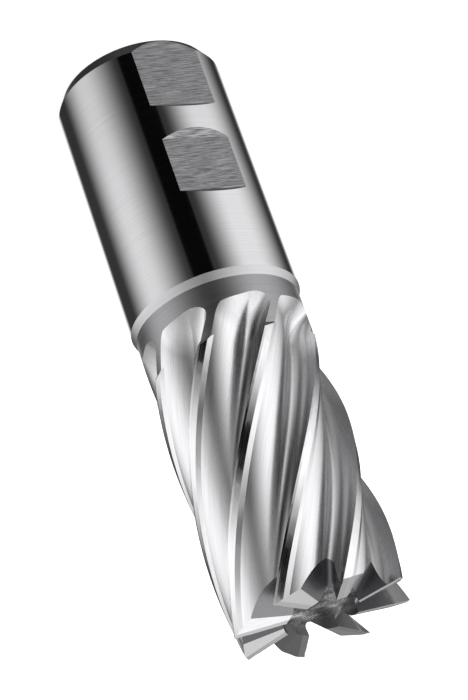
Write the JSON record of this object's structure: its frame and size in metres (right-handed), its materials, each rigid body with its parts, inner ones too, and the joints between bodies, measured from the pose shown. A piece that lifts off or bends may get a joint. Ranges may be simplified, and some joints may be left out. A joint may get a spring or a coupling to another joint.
{
  "type": "end mill",
  "caption": "Large solid end mill: flatted parallel shank, plain neck, and a cylindrical cutting end with helical flutes and centre-recessed end teeth.",
  "frame": {"origin": "centre of the flat end of the shank, on which the tool stands", "axes": "+Z along the tool's axis from the shank to the cutting end; the two shank flats face -Y"},
  "size_m": [0.05, 0.05, 0.177],
  "materials": {
    "tool_steel": "ground and polished high-speed steel"
  },
  "bodies": {
    "root": {"endmill": "tool_steel"}
  },
  "joints": []
}
